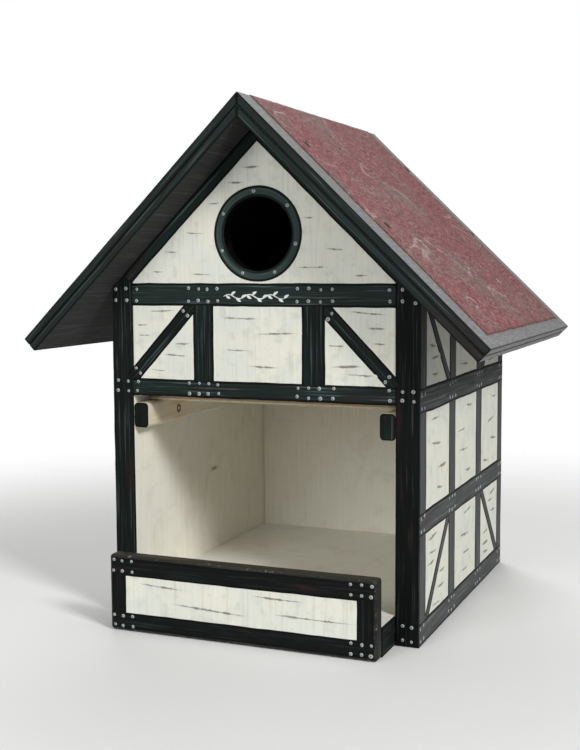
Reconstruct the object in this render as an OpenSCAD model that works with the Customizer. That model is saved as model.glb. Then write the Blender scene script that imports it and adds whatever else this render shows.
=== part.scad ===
// Half-timbered wooden birdhouse: a nest chamber under a gable roof and, below it,
// an open feeding chamber with a raised tray board. The nest floor is a loose board
// that lies on two cleats and draws out to the front for cleaning.
// Millimetres. X is across the front, +Y runs to the back, +Z is up. The origin is
// the middle of the body's footprint, on the underside.

/* [Body] */
// Width over the side walls
body_w = 250; // [200:1:320]
// Depth of the side walls
body_d = 270; // [220:1:340]
// Height of the side walls at their outer edge
eave_h = 260; // [240:1:320]
// Thickness of the side and back walls
wall_t = 18; // [14:0.5:22]

/* [Gable panel] */
// Thickness of the front panel under the gable
panel_t = 13; // [10:0.5:18]
// Height of its lower edge above the ground
panel_z = 176; // [146:1:190]
// Diameter of the round entrance
entrance_d = 55; // [26:1:66]
// Centre of the entrance below the inside of the ridge
entrance_drop = 81.5; // [75:0.5:100]

/* [Nest floor and cleats] */
// Thickness of the loose nest floor
nest_floor_t = 5; // [3:0.1:8]
// Its front edge behind the front of the house
nest_floor_back = 24; // [16:1:60]
// Space left over the nest floor, under the gable panel
nest_floor_play = 0.8; // [0.5:0.1:2]
// Width of a cleat
cleat_w = 12; // [8:0.5:20]
// Height of a cleat
cleat_h = 19.5; // [12:0.5:30]

/* [Floor and tray] */
// Thickness of the floor board
floor_t = 22; // [15:0.5:28]
// Reach of the floor in front of the house, up to the tray board
tray_depth = 29; // [20:1:60]
// Thickness of the tray board
tray_board_t = 13; // [9:0.5:18]
// Height of the tray board
tray_h = 58.5; // [40:0.5:90]

/* [Roof] */
// Pitch of the roof in degrees
roof_pitch = 44.2; // [36:0.1:50]
// Thickness of the upper roof boards
roof_board_t = 6.4; // [4:0.1:10]
// Thickness of the boards that line them
roof_lining_t = 6.4; // [4:0.1:10]
// Overhang at the front
roof_front = 35; // [20:1:60]
// Overhang at the back
roof_back = 3; // [0:0.5:30]
// Overhang past the side walls, measured level at the top edge
roof_side = 59; // [40:1:80]

/* [Roof covering] */
// Thickness of the covering
cover_t = 0.8; // [0.5:0.1:2]
// Bare margin at the front
cover_front = 27; // [5:1:40]
// Bare margin at the back
cover_back = 20; // [5:1:40]
// Bare margin along each eave
cover_eave = 11.5; // [5:0.5:30]

/* [Screws] */
// Shank diameter
screw_d = 3.5; // [2.5:0.1:4.5]
// Head diameter
screw_head_d = 7; // [5:0.1:9]
// Length of the roof, wall and tray screws
screw_l = 35; // [25:1:45]
// Length of the cleat screws
cleat_screw_l = 25; // [16:1:28]
// Thickness of the filler over a hidden screw head
filler_t = 1.2; // [0.8:0.1:2]
// Distance of the cleat screws from the front and from the back wall
cleat_screw_in = 52; // [30:1:80]
// Distance of the end screws of a joint from the corner that the joint runs into
screw_edge_in = 25; // [18:1:35]
// Distance of the ridge screws down the slope from the inside of the ridge
ridge_screw_down = 38; // [30:1:60]
// Lowest screw of the gable panel above the panel's lower edge
panel_screw_up = 20; // [12:1:30]
// Lowest screw of the back wall above the floor
back_screw_up = 18; // [12:1:40]
// Distance of the front floor screws from the front of the house
floor_screw_front = 50; // [30:1:70]
// Distance of the rear floor screws from the back wall
floor_screw_back = 40; // [20:1:60]

/* [Clearances] */
// Under the nest floor, where it slides on the cleats
slide_gap = 0.2; // [0.1:0.05:0.5]
// At the sides and back of the nest floor
edge_gap = 1; // [0.5:0.1:3]

/* [Hidden] */
$fn = 64;

// Plan of the body
half_w = body_w / 2;
inner_half = half_w - wall_t;
front_y = -body_d / 2;
back_y = body_d / 2;
inner_back_y = back_y - wall_t;
tray_y = front_y - tray_depth;

// Heights
inner_eave_h = eave_h + wall_t * tan(roof_pitch);
apex_z = eave_h + half_w * tan(roof_pitch);
entrance_z = apex_z - entrance_drop;
cleat_top = panel_z - nest_floor_play - nest_floor_t - slide_gap;
cleat_mid_z = cleat_top - cleat_h / 2;
nest_floor_z = cleat_top + slide_gap;

// Roof, measured down the slope from the inside of the ridge and out from the lining
roof_t = roof_board_t + roof_lining_t;
slope_l = (half_w + roof_side - roof_t * sin(roof_pitch)) / cos(roof_pitch);
roof_front_y = front_y - roof_front;
roof_back_y = back_y + roof_back;

// How far a cutting shape reaches past the face that it cuts
over = 1;

// The cross recess, as shares of the head's diameter and height
recess_w_share = 0.16;
recess_l_share = 0.6;
recess_deep_share = 0.9;

// Screws: along the slope, and up or along the walls
screw_head_h = (screw_head_d - screw_d) / 2;
recess_w = screw_head_d * recess_w_share;
recess_l = screw_head_d * recess_l_share;
recess_deep = screw_head_h * recess_deep_share;
tip_h = screw_d;
roof_screws_at = [ridge_screw_down, inner_half / cos(roof_pitch) - screw_edge_in];
panel_mid_y = front_y + panel_t / 2;
back_mid_y = inner_back_y + wall_t / 2;
cover_front_y = roof_front_y + cover_front;
cover_back_y = roof_back_y - cover_back;
// Each row of roof screws is over a panel, with its heads flush with what is on top
function roof_top(y) = roof_t + (y > cover_front_y && y < cover_back_y ? cover_t : 0);
roof_screw_rows = [for (y = [panel_mid_y, back_mid_y]) [y, roof_top(y)]];
high_screw_z = inner_eave_h - screw_edge_in;
low_screw_z = floor_t + back_screw_up;
panel_screws_z = [panel_z + panel_screw_up, high_screw_z];
back_screws_z = [low_screw_z, (low_screw_z + high_screw_z) / 2, high_screw_z];
floor_screws_y = [front_y + floor_screw_front, inner_back_y - floor_screw_back];
wall_screws_at = concat(
    [for (z = panel_screws_z) [panel_mid_y, z]],
    [for (z = back_screws_z) [back_mid_y, z]],
    [for (y = floor_screws_y) [y, floor_t / 2]]);
tray_screws_x = [-(inner_half - screw_edge_in), 0, inner_half - screw_edge_in];
cleat_screws_y = [front_y + cleat_screw_in, inner_back_y - cleat_screw_in];

// A solid with an outline in X and Z that runs from y0 to y1
module along_y(y0, y1) {
    translate([0, y1, 0])
        rotate([90, 0, 0])
            linear_extrude(y1 - y0)
                children();
}

// The point that lies "down" along the slope and "out" from the lining's underside
function slope_point(down, out) = [
    down * cos(roof_pitch) + out * sin(roof_pitch),
    apex_z - down * sin(roof_pitch) + out * cos(roof_pitch)];

// Where a layer of the roof that is "out" from the underside meets the ridge plane
function ridge_point(out) = slope_point(-out * tan(roof_pitch), out);

// Puts its children on the right-hand slope: X down the slope, Z out of it
module on_slope() {
    translate([0, 0, apex_z])
        rotate([0, roof_pitch, 0])
            children();
}

// Repeats its children for the two sides
module both_sides() {
    children();
    mirror([1, 0, 0])
        children();
}

// Outline of a countersunk screw, head up, with the head's top at zero
module screw_outline(length) {
    polygon([
        [0, 0],
        [screw_head_d / 2, 0],
        [screw_d / 2, -screw_head_h],
        [screw_d / 2, -length + tip_h],
        [0, -length]]);
}

// The hole that the screw fills
module screw_hole(length) {
    rotate_extrude()
        screw_outline(length);
}

module screw(length) {
    difference() {
        screw_hole(length);
        for (turn = [0, 90])
            rotate([0, 0, turn])
                translate([-recess_l / 2, -recess_w / 2, -recess_deep])
                    cube([recess_l, recess_w, recess_deep + over]);
    }
}

module filler() {
    translate([0, 0, -filler_t])
        cylinder(d = screw_head_d, h = filler_t);
}

// Places for each set of screws: their children point down into the wood
module at_roof_screws() {
    for (row = roof_screw_rows, down = roof_screws_at)
        on_slope()
            translate([down, row[0], row[1]])
                children();
}

module at_right_wall_screws() {
    for (p = wall_screws_at)
        translate([half_w, p[0], p[1]])
            rotate([0, 90, 0])
                children();
}

module at_tray_screws() {
    for (x = tray_screws_x)
        translate([x, tray_y - tray_board_t, floor_t / 2])
            rotate([90, 0, 0])
                children();
}

module at_right_cleat_screws() {
    for (y = cleat_screws_y)
        translate([inner_half - cleat_w, y, cleat_mid_z])
            rotate([0, -90, 0])
                children();
}

// A hidden screw's hole, with the filler's space over it
module hidden_screw_hole() {
    filler();
    translate([0, 0, -filler_t])
        screw_hole(screw_l);
}

module hidden_screw() {
    translate([0, 0, -filler_t])
        screw(screw_l);
}

module right_wall() {
    difference() {
        along_y(front_y, back_y)
            polygon([
                [inner_half, 0],
                [half_w, 0],
                [half_w, eave_h],
                [inner_half, inner_eave_h]]);
        at_right_wall_screws()
            hidden_screw_hole();
        at_right_cleat_screws()
            screw_hole(cleat_screw_l);
    }
}

// The five-sided board between the side walls, from a height up to the ridge
module gable_outline(bottom) {
    polygon([
        [-inner_half, bottom],
        [inner_half, bottom],
        [inner_half, inner_eave_h],
        [0, apex_z],
        [-inner_half, inner_eave_h]]);
}

// Screw holes that reach into the panels and the floor from both sides and the roof
module side_and_roof_holes() {
    both_sides() {
        at_right_wall_screws()
            hidden_screw_hole();
        at_roof_screws()
            screw_hole(screw_l);
    }
}

// One layer of the right-hand slope, mitred at the ridge and square at the eave
module right_slope(out0, out1) {
    difference() {
        along_y(roof_front_y, roof_back_y)
            polygon([
                ridge_point(out0),
                slope_point(slope_l, out0),
                slope_point(slope_l, out1),
                ridge_point(out1)]);
        at_roof_screws()
            screw_hole(screw_l);
    }
}

module right_side_wall() {
    color("whitesmoke")
        right_wall();
}

module left_side_wall() {
    color("whitesmoke")
        mirror([1, 0, 0])
            right_wall();
}

module back_wall() {
    color("whitesmoke")
        difference() {
            along_y(inner_back_y, back_y)
                gable_outline(0);
            side_and_roof_holes();
        }
}

module gable_panel() {
    color("ghostwhite")
        difference() {
            along_y(front_y, front_y + panel_t)
                gable_outline(panel_z);
            translate([0, front_y - over, entrance_z])
                rotate([-90, 0, 0])
                    cylinder(d = entrance_d, h = panel_t + 2 * over);
            side_and_roof_holes();
        }
}

module floor_board() {
    color("antiquewhite")
        difference() {
            translate([-inner_half, tray_y, 0])
                cube([2 * inner_half, inner_back_y - tray_y, floor_t]);
            both_sides()
                at_right_wall_screws()
                    hidden_screw_hole();
            at_tray_screws()
                hidden_screw_hole();
        }
}

module tray_board() {
    color([0.15, 0.18, 0.17])
        difference() {
            translate([-inner_half, tray_y - tray_board_t, 0])
                cube([2 * inner_half, tray_board_t, tray_h]);
            at_tray_screws()
                hidden_screw_hole();
        }
}

module right_cleat() {
    color("tan")
        difference() {
            translate([inner_half - cleat_w, front_y, cleat_top - cleat_h])
                cube([cleat_w, inner_back_y - front_y, cleat_h]);
            at_right_cleat_screws()
                screw_hole(cleat_screw_l);
        }
}

module left_cleat() {
    mirror([1, 0, 0])
        right_cleat();
}

module nest_floor() {
    floor_half = inner_half - edge_gap;
    floor_front_y = front_y + nest_floor_back;
    color("burlywood")
        translate([-floor_half, floor_front_y, nest_floor_z])
            cube([2 * floor_half, inner_back_y - edge_gap - floor_front_y, nest_floor_t]);
}

module right_roof_board() {
    color("dimgray")
        right_slope(roof_lining_t, roof_t);
}

module left_roof_board() {
    mirror([1, 0, 0])
        right_roof_board();
}

module right_roof_lining() {
    color([0.12, 0.15, 0.14])
        right_slope(0, roof_lining_t);
}

module left_roof_lining() {
    mirror([1, 0, 0])
        right_roof_lining();
}

// One sheet, folded over the ridge
module roof_covering() {
    cover_l = slope_l - cover_eave;
    right_points = [
        ridge_point(roof_t + cover_t),
        slope_point(cover_l, roof_t + cover_t),
        slope_point(cover_l, roof_t),
        ridge_point(roof_t)];
    left_points = [
        [-right_points[2][0], right_points[2][1]],
        [-right_points[1][0], right_points[1][1]]];
    color([0.52, 0.3, 0.3])
        difference() {
            along_y(cover_front_y, cover_back_y)
                polygon(concat(right_points, left_points));
            both_sides()
                at_roof_screws()
                    screw_hole(screw_l);
        }
}

module roof_screws() {
    color("silver")
        both_sides()
            at_roof_screws()
                screw(screw_l);
}

module right_wall_screws() {
    color("silver")
        at_right_wall_screws()
            hidden_screw();
}

module left_wall_screws() {
    mirror([1, 0, 0])
        right_wall_screws();
}

module tray_screws() {
    color("silver")
        at_tray_screws()
            hidden_screw();
}

module cleat_screws() {
    color("silver")
        both_sides()
            at_right_cleat_screws()
                screw(cleat_screw_l);
}

module screw_fillers() {
    color("gainsboro") {
        both_sides()
            at_right_wall_screws()
                filler();
        at_tray_screws()
            filler();
    }
}

left_side_wall();
right_side_wall();
back_wall();
gable_panel();
floor_board();
tray_board();
left_cleat();
right_cleat();
nest_floor();
left_roof_board();
right_roof_board();
left_roof_lining();
right_roof_lining();
roof_covering();
roof_screws();
left_wall_screws();
right_wall_screws();
tray_screws();
cleat_screws();
screw_fillers();
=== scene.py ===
"""Half-timbered birdhouse: its painted boards, roof covering and fasteners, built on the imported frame.

Metres, in the frame's axes: X across the front, +Y to the back, +Z up. Each board stands for a CAD
solid and takes its sizes from it; the painted timbers, dabs and dashes lie on the boards.
"""
import math
import random

import bmesh
import bpy
import numpy as np
from mathutils import Matrix, Vector, noise


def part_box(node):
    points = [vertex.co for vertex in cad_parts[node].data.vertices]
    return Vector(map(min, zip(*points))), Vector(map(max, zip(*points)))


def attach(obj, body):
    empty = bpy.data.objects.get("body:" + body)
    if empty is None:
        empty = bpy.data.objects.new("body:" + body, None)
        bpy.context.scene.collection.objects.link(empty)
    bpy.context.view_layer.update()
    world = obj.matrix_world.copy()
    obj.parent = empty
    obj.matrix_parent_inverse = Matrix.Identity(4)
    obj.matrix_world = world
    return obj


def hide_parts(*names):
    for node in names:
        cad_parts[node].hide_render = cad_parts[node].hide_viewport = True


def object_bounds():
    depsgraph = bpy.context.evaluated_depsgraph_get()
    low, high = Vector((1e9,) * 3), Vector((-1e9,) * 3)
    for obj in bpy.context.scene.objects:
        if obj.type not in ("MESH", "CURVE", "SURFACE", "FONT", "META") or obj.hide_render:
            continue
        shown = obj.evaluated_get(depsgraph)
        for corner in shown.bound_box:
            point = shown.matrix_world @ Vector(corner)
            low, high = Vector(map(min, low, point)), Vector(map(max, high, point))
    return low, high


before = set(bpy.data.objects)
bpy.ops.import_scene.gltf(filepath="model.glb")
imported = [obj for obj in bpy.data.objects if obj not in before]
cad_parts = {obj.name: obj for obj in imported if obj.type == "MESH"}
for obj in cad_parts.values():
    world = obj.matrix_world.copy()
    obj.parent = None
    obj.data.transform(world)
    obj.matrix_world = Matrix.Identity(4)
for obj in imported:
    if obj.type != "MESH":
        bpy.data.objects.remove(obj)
cad_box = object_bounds()

MM = 0.001

# ---------------------------------------------------------------- camera

CAMERA_AT = (358.9 * MM, -942.7 * MM, 277.6 * MM)
CAMERA_YAW = math.radians(22.43)
CAMERA_DIP = math.radians(5.35)
CAMERA_ROLL = math.radians(-0.30)
CAMERA_LENS = 56.9


def make_camera():
    """A camera to the right of the front, a little over the nest floor."""
    data = bpy.data.cameras.new("camera")
    data.lens = CAMERA_LENS
    camera = bpy.data.objects.new("camera", data)
    turn = Matrix.Rotation(CAMERA_YAW, 4, "Z")
    tilt = Matrix.Rotation(math.pi / 2 - CAMERA_DIP, 4, "X")
    roll = Matrix.Rotation(CAMERA_ROLL, 4, "Z")
    camera.matrix_world = Matrix.Translation(CAMERA_AT) @ turn @ tilt @ roll
    bpy.context.scene.collection.objects.link(camera)
    bpy.context.scene.camera = camera


make_camera()

# ---------------------------------------------------------------- sizes, from the frame

wall_low, wall_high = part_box("right_side_wall")
panel_low, panel_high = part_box("gable_panel")
lining_low, lining_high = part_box("right_roof_lining")
plank_low, plank_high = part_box("right_roof_board")
sheet_low, sheet_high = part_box("roof_covering")
tray_low, tray_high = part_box("tray_board")
floor_low, floor_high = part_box("floor_board")
back_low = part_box("back_wall")[0]
loose_low, loose_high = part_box("nest_floor")

HALF = wall_high.x
INNER = wall_low.x
FRONT = wall_low.y
BACK = wall_high.y
APEX = panel_high.z
RAIL_FOOT = panel_low.z
PITCH = math.atan2(APEX - wall_high.z, INNER)
EAVE = APEX - HALF * math.tan(PITCH)
SLOPE_L = (APEX - lining_low.z) / math.sin(PITCH)
LINING_T = (lining_high.x - SLOPE_L * math.cos(PITCH)) / math.sin(PITCH)
ROOF_T = (plank_high.x - SLOPE_L * math.cos(PITCH)) / math.sin(PITCH)
SHEET_T = (sheet_high.z - APEX) * math.cos(PITCH) - ROOF_T
SHEET_L = (sheet_high.x - (ROOF_T + SHEET_T) * math.sin(PITCH)) / math.cos(PITCH)

# Roof screws: down the slope from the ridge, and in from the wall's line
RIDGE_SCREW = 38 * MM
EDGE_SCREW = 25 * MM
SCREW_HEAD_R = 3.5 * MM
BOARD_PLAY = 0.15 * MM
SHEET_PLAY = 0.1 * MM

# Rounding of a board's arrises, width of its worn border, and size of its net of faces
ARRIS = 1.0 * MM
RIM = 2.4 * MM
GRID = 6 * MM

# Thickness of a coat of paint, and of a dab on it
FILM = 0.3 * MM
DAB_HEIGHT = 0.4 * MM


def entrance():
    """Height and radius of the round hole, from its rim on the panel's front."""
    flush = FRONT + 0.1 * MM
    foot = RAIL_FOOT + 10 * MM
    peak = APEX - 10 * MM
    points = [vertex.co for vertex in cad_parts["gable_panel"].data.vertices]
    heights = [z for x, y, z in points if y < flush and abs(x) < INNER / 2 and foot < z < peak]
    low = min(heights)
    high = max(heights)
    return (low + high) / 2, (high - low) / 2


HOLE_Z, HOLE_R = entrance()


def on_slope(down, out, side=1):
    """The point down the slope from the inside of the ridge and out from the lining."""
    x = down * math.cos(PITCH) + out * math.sin(PITCH)
    z = APEX - down * math.sin(PITCH) + out * math.cos(PITCH)
    return side * x, z


# ---------------------------------------------------------------- nodes as expressions


def sum_of(operation, swapped=False):
    """A method that adds one Math node; swapped puts the wire behind the other value."""
    def add_node(wire, other=0.0):
        first, second = (other, wire) if swapped else (wire, other)
        return wire.tree.node("ShaderNodeMath", {"operation": operation}, {0: first, 1: second})
    return add_node


class Wire:
    """A node's output that can stand in a sum."""

    def __init__(self, tree, socket):
        self.tree = tree
        self.socket = socket

    __add__ = sum_of("ADD")
    __radd__ = sum_of("ADD", swapped=True)
    __sub__ = sum_of("SUBTRACT")
    __rsub__ = sum_of("SUBTRACT", swapped=True)
    __mul__ = sum_of("MULTIPLY")
    __rmul__ = sum_of("MULTIPLY", swapped=True)
    __truediv__ = sum_of("DIVIDE")
    __pow__ = sum_of("POWER")
    at_least = sum_of("MAXIMUM")
    size = sum_of("ABSOLUTE")
    wave = sum_of("SINE")


class Tree:
    """A node tree under construction."""

    def __init__(self, nodes_of):
        self.tree = nodes_of

    def node(self, kind, settings=None, sockets=None, out=0):
        """One node: its settings first, then its sockets' values or wires. Gives the wire from out."""
        made = self.tree.nodes.new(kind)
        for name, value in (settings or {}).items():
            setattr(made, name, value)
        for name, value in (sockets or {}).items():
            if isinstance(value, Wire):
                self.tree.links.new(value.socket, made.inputs[name])
            else:
                made.inputs[name].default_value = value
        return None if out is None else Wire(self, made.outputs[out])

    def xyz(self, x, y, z):
        """A vector from three numbers."""
        return self.node("ShaderNodeCombineXYZ", None, {0: x, 1: y, 2: z})

    def parts(self, vector):
        """The three numbers of a vector."""
        outputs = self.node("ShaderNodeSeparateXYZ", None, {0: vector}).socket.node.outputs
        return [Wire(self, output) for output in outputs]

    def vector(self, operation, *vectors, out="Vector"):
        """A Vector Math node on its vectors, in order."""
        return self.node("ShaderNodeVectorMath", {"operation": operation}, dict(enumerate(vectors)), out)


def colour(red, green, blue):
    """A paint colour from its display values, 0 to 255."""
    def linear(value):
        share = value / 255
        return share / 12.92 if share <= 0.04045 else ((share + 0.055) / 1.055) ** 2.4
    return linear(red), linear(green), linear(blue), 1.0


SHADER_SOCKETS = {"specular": "Specular IOR Level", "metallic": "Metallic", "alpha": "Alpha"}


class Finish(Tree):
    """A material made only of nodes."""

    def __init__(self, name):
        self.material = bpy.data.materials.new(name)
        self.material.use_nodes = True
        super().__init__(self.material.node_tree)
        self.tree.nodes.clear()

    def place(self):
        """Where a point lies, in metres."""
        return self.node("ShaderNodeTexCoord", out="Object")

    def paint_map(self):
        """The surface's own map: along the brush, across it."""
        return self.node("ShaderNodeUVMap", {"uv_map": "paint"})

    def mark(self, name):
        """A number that the mesh carries under this name."""
        return self.node("ShaderNodeAttribute", {"attribute_name": name}, out="Fac")

    def stretch(self, vector, scale):
        """A place scaled along each axis, so that a pattern on it stretches."""
        return self.vector("MULTIPLY", vector, scale)

    def cloud(self, vector, scale, detail=3.0, rough=0.55, twist=0.0):
        """Noise from 0 to 1, with scale spots in a metre."""
        sockets = {
            "Vector": vector, "Scale": scale, "Detail": detail, "Roughness": rough, "Distortion": twist}
        return self.node("ShaderNodeTexNoise", None, sockets)

    def cells(self, vector, scale, feature="DISTANCE_TO_EDGE"):
        """Distance in a pattern of cells, to their edges or their middles."""
        return self.node("ShaderNodeTexVoronoi", {"feature": feature}, {"Vector": vector, "Scale": scale})

    def fade(self, value, low, high):
        """0 below low, 1 above high, smooth between; low may be above high."""
        sockets = {"Value": value, "From Min": low, "From Max": high}
        return self.node("ShaderNodeMapRange", {"interpolation_type": "SMOOTHSTEP"}, sockets)

    def mix(self, share, first, second):
        """The first colour, with a share of the second over it."""
        return self.node("ShaderNodeMix", {"data_type": "RGBA"}, {0: share, 6: first, 7: second}, out=2)

    def bump(self, height, distance, strength=1.0):
        """A normal from a height of 0 to 1 over a distance in metres."""
        sockets = {"Height": height, "Distance": distance, "Strength": strength}
        return self.node("ShaderNodeBump", None, sockets)

    def surface(self, base, rough, normal, **fixed):
        """Ends the tree in one shader; fixed numbers sit on its own sockets."""
        sockets = {"Base Color": base, "Roughness": rough, "Normal": normal}
        for name, value in fixed.items():
            sockets[SHADER_SOCKETS[name]] = value
        shader = self.node("ShaderNodeBsdfPrincipled", None, sockets)
        self.node("ShaderNodeOutputMaterial", None, {"Surface": shader}, out=None)
        return self.material


# ---------------------------------------------------------------- finishes


def plaster_tone(paint, place, grain):
    """White paint brushed over wood: a warm and a cool white, with the grain showing through."""
    brushed = paint.cloud(paint.stretch(place, grain), 1.0, 4.0, 0.6)
    patches = paint.cloud(place, 34.0, 3.0)
    warm = paint.mix(paint.fade(patches, 0.36, 0.64), colour(228, 227, 213), colour(220, 223, 213))
    thin = paint.cloud(place, 90.0, 4.0, 0.65)
    greyed = paint.mix(paint.fade(thin, 0.5, 0.68) * 0.55, warm, colour(200, 202, 192))
    grained = paint.mix(paint.fade(brushed, 0.5, 0.72) * 0.34, greyed, colour(192, 191, 177))
    chalky = paint.mix(paint.fade(brushed, 0.46, 0.25) * 0.5, grained, colour(237, 238, 230))
    return chalky, brushed


def make_plaster(name, grain):
    """The white of the panels between the timbers."""
    paint = Finish(name)
    place = paint.place()
    tone, brushed = plaster_tone(paint, place, grain)
    specks = paint.cells(place, 420.0, "F1")
    flecks = paint.cloud(place, 150.0, 2.0)
    spots = paint.fade(specks, 0.16, 0.06) * paint.fade(flecks, 0.56, 0.68)
    worn = paint.mix(spots * 0.5, tone, colour(160, 152, 132))
    edge = paint.mark("rim") * paint.fade(flecks, 0.35, 0.6)
    base = paint.mix(edge * 0.25, worn, colour(176, 172, 158))
    relief = brushed * 0.7 + paint.cloud(place, 900.0, 2.0) * 0.3
    rough = 0.58 + 0.2 * brushed
    return paint.surface(base, rough, paint.bump(relief, 0.25 * MM, 0.8), specular=0.35)


def make_timber(name, dark, light, sheen, edge_dark=1.0, red=0.3):
    """Dark paint laid on in streaks along each timber, with a dark outline. The mark tone goes from
    the dark to the light colour, and the sheen lies on the brush ridges."""
    paint = Finish(name)
    along = paint.paint_map()
    streaks = paint.cloud(paint.stretch(along, (16.0, 620.0, 1.0)), 1.0, 3.0, 0.6, 0.35)
    fine = paint.cloud(paint.stretch(along, (60.0, 1700.0, 1.0)), 1.0, 2.0, 0.5)
    drift = paint.cloud(paint.stretch(along, (14.0, 70.0, 1.0)), 1.0, 2.0)
    tone = paint.mark("tone")
    dark, light = colour(*dark), colour(*light)
    lit = paint.mix(tone, dark, light)
    ground = paint.mix(tone * tone * 0.75, dark, light)
    brushed = paint.mix(paint.fade(streaks, 0.42, 0.66) * 0.75, ground, lit)
    ridges = paint.mix(paint.fade(streaks, 0.56, 0.7) * (0.15 + 0.75 * tone), brushed, colour(*sheen))
    greenish = paint.mix(paint.fade(drift, 0.55, 0.72) * tone * 0.6, ridges, colour(30, 56, 48))
    reddish = paint.mix(paint.fade(drift, 0.42, 0.3) * red, greenish, colour(56, 34, 34))
    bluish = paint.cloud(paint.stretch(along, (22.0, 90.0, 1.0)), 1.7, 1.0)
    tinted = paint.mix(paint.fade(bluish, 0.58, 0.72) * tone * 0.4, reddish, colour(40, 48, 66))
    outline = paint.fade(paint.mark("rim"), 0.35, 0.75) * edge_dark
    base = paint.mix(outline * 0.85, tinted, colour(9, 10, 10))
    relief = streaks * 0.75 + fine * 0.25
    rough = 0.72 - 0.2 * streaks + 0.1 * fine
    return paint.surface(base, rough, paint.bump(relief, 0.5 * MM, 0.9), specular=0.1)


def make_worn_timber(name):
    """The tray board's dark paint, rubbed through to the wood along its arrises."""
    paint = Finish(name)
    along = paint.paint_map()
    place = paint.place()
    streaks = paint.cloud(paint.stretch(along, (16.0, 520.0, 1.0)), 1.0, 3.0, 0.6, 0.3)
    dull = paint.mix(paint.fade(streaks, 0.4, 0.66), colour(17, 19, 18), colour(50, 50, 44))
    # The top face is drawn paler: partly worn paint, partly painted sheen on the upturned face.
    _, _, height = paint.parts(place)
    top = paint.fade(height, tray_high.z - 1.6 * MM, tray_high.z - 0.2 * MM)
    top_wear_and_sheen = paint.mix(top * 0.62, dull, colour(62, 59, 50))
    chips = paint.cloud(place, 340.0, 4.0, 0.65)
    rubbed = paint.fade(paint.mark("rim"), 0.2, 0.6) * paint.fade(chips, 0.6, 0.67)
    base = paint.mix(rubbed * 0.85, top_wear_and_sheen, colour(158, 152, 136))
    patch = paint.cloud(paint.stretch(place, (16.0, 60.0, 60.0)), 1.0, 2.0)
    reddish = paint.mix(paint.fade(patch, 0.66, 0.74) * 0.4, base, colour(66, 40, 42))
    rough = 0.62 - 0.15 * streaks
    return paint.surface(reddish, rough, paint.bump(streaks, 0.45 * MM, 0.9), specular=0.25)


def make_birch(name, grain, light, deep, knot=None, shade_above=None):
    """Smooth birch ply with a thin pale wash. The grain stretches the figure along the wood; above
    the height in shade_above the wood is darkened as painted shade inside the closed nest chamber."""
    wood = Finish(name)
    place = wood.place()
    figure = wood.cloud(wood.stretch(place, grain), 1.0, 5.0, 0.62, 0.5)
    pores = wood.cloud(wood.stretch(place, [value * 6 for value in grain]), 1.0, 2.0, 0.6)
    patches = wood.cloud(place, 9.0, 2.0)
    base = wood.mix(wood.fade(figure, 0.35, 0.7), colour(*light), colour(*deep))
    washed = wood.mix(wood.fade(patches, 0.42, 0.62) * 0.5, base, colour(239, 239, 231))
    smears = wood.cloud(place, 42.0, 4.0, 0.6, 0.8)
    smeared = wood.mix(wood.fade(smears, 0.52, 0.7) * 0.3, washed, colour(214, 210, 194))
    fibred = wood.mix(wood.fade(pores, 0.6, 0.72) * 0.16, smeared, colour(198, 186, 160))
    # Painted shade: inside the nest chamber, above the nest floor, the wood is darkened nearly black.
    if shade_above is not None:
        _, _, height = wood.parts(place)
        chamber_shade = wood.fade(height + 3.0 * MM * figure, shade_above, shade_above + 5 * MM)
        fibred = wood.mix(chamber_shade * 0.94, fibred, colour(30, 24, 20))
    if knot is not None:
        squeezed = wood.stretch(wood.vector("SUBTRACT", place, knot), (1.0, 0.35, 1.4))
        offset = wood.vector("LENGTH", squeezed, out="Value")
        ragged = offset + 2.0 * MM * wood.cloud(place, 300.0)
        halo = wood.fade(ragged, 7.0 * MM, 2.0 * MM)
        heart = wood.fade(ragged, 3.4 * MM, 2.2 * MM)
        fibred = wood.mix(halo * 0.25, fibred, colour(178, 146, 104))
        fibred = wood.mix(heart * 0.6, fibred, colour(112, 78, 48))
    relief = figure * 0.4 + pores * 0.6
    rough = 0.55 + 0.15 * figure
    return wood.surface(fibred, rough, wood.bump(relief, 0.12 * MM, 0.7), specular=0.35)


def make_ply_edge(name, layer):
    """The edge of a plywood sheet: light and dark veneers, one layer thick each."""
    wood = Finish(name)
    place = wood.place()
    _, _, height = wood.parts(place)
    stripe = wood.fade((height * (math.pi / layer)).wave(), -0.25, 0.25)
    fibre = wood.cloud(wood.stretch(place, (240.0, 240.0, 1600.0)), 1.0, 3.0)
    veneer = wood.mix(stripe, colour(222, 208, 178), colour(186, 160, 122))
    base = wood.mix(wood.fade(fibre, 0.45, 0.7) * 0.5, veneer, colour(160, 134, 100))
    return wood.surface(base, 0.65 + 0.15 * fibre, wood.bump(stripe * 0.3 + fibre, 0.2 * MM, 0.8))


def make_roof_grey(name):
    """Grey paint on the roof's margins and eave ends, brushed along the edge and dark-lined."""
    paint = Finish(name)
    along = paint.paint_map()
    place = paint.place()
    streaks = paint.cloud(paint.stretch(along, (110.0, 420.0, 1.0)), 1.0, 4.0, 0.65)
    grit = paint.cloud(place, 620.0, 2.0, 0.7)
    patches = paint.cloud(place, 26.0, 3.0)
    base = paint.mix(paint.fade(streaks, 0.35, 0.68), colour(126, 126, 127), colour(148, 148, 149))
    aged = paint.mix(paint.fade(patches, 0.45, 0.7) * 0.4, base, colour(128, 124, 120))
    gritty = paint.mix(paint.fade(grit, 0.52, 0.72) * 0.35, aged, colour(84, 84, 84))
    outline = paint.fade(paint.mark("rim"), 0.45, 0.85)
    lined = paint.mix(outline * 0.8, gritty, colour(34, 35, 35))
    relief = streaks * 0.6 + grit * 0.4
    return paint.surface(lined, 0.62 + 0.12 * grit, paint.bump(relief, 0.3 * MM, 0.8), specular=0.35)


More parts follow.
